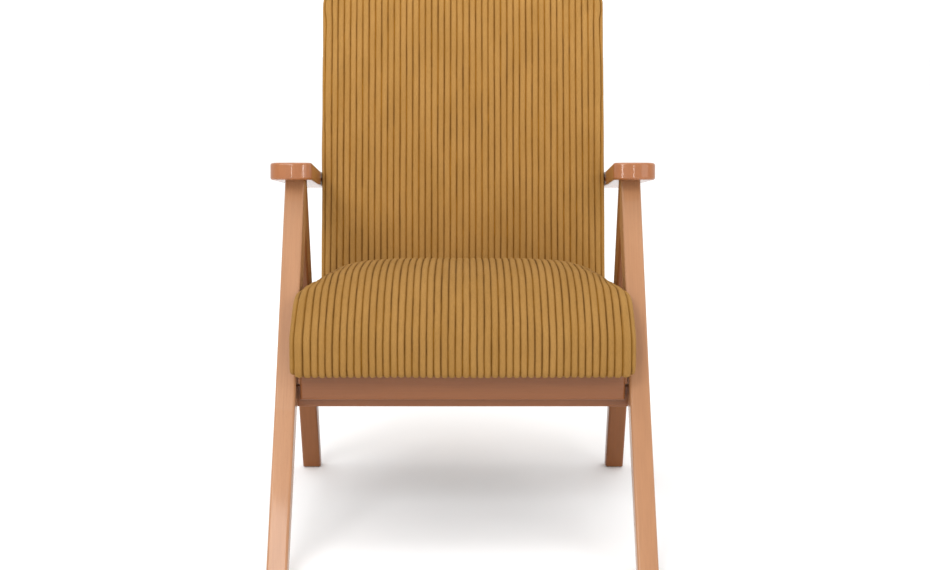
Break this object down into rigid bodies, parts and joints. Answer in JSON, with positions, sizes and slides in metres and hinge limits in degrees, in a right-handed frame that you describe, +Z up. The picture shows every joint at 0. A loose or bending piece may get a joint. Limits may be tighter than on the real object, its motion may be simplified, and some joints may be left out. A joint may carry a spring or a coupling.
{
  "type": "armchair",
  "caption": "Low armchair with inverted-V wooden side frames, flat sloping armrests and a thick ribbed corduroy seat and leaning back.",
  "frame": {"origin": "on the floor, at the middle of the chair's bounding box", "axes": "+Z up, +Y to the chair's rear, +X to the right as seen from the front"},
  "size_m": [0.632, 0.8478, 0.8715],
  "materials": {
    "beech_wood": "satin",
    "zinc_steel": "satin",
    "dowel_wood": "matte",
    "corduroy": "matte",
    "foam": "matte",
    "fibreboard": "matte",
    "frame_wood": "matte",
    "webbing": "matte",
    "glide_plastic": "matte",
    "lining": "matte",
    "felt": "matte",
    "spring_steel": "satin"
  },
  "bodies": {
    "root": {"armrest_bolt_caps": "beech_wood", "armrest_bolts": "zinc_steel", "armrest_dowels": "dowel_wood", "armrest_insert_nuts": "zinc_steel", "armrest_left": "beech_wood", "armrest_right": "beech_wood", "back_bolts": "zinc_steel", "back_cover": "corduroy", "back_dowels": "dowel_wood", "back_foam": "foam", "back_panel": "fibreboard", "back_rail_bottom": "frame_wood", "back_rail_middle": "frame_wood", "back_rail_top": "frame_wood", "back_stile_left": "frame_wood", "back_stile_right": "frame_wood", "back_webbing": "webbing", "bearer_screws": "zinc_steel", "foot_glides": "glide_plastic", "front_board": "beech_wood", "front_board_screws": "zinc_steel", "front_cross_rail": "beech_wood", "front_leg_left": "beech_wood", "front_leg_right": "beech_wood", "leg_dowels": "dowel_wood", "rail_dowels": "dowel_wood", "rear_cross_rail": "beech_wood", "rear_leg_left": "beech_wood", "rear_leg_right": "beech_wood", "seat_bearer_left": "beech_wood", "seat_bearer_right": "beech_wood", "seat_bolts": "zinc_steel", "seat_corner_blocks": "frame_wood", "seat_cover": "corduroy", "seat_dust_cover": "lining", "seat_felt": "felt", "seat_foam": "foam", "seat_frame_front": "frame_wood", "seat_frame_left": "frame_wood", "seat_frame_rear": "frame_wood", "seat_frame_right": "frame_wood", "seat_spring_clips": "zinc_steel", "seat_springs": "spring_steel"}
  },
  "joints": []
}
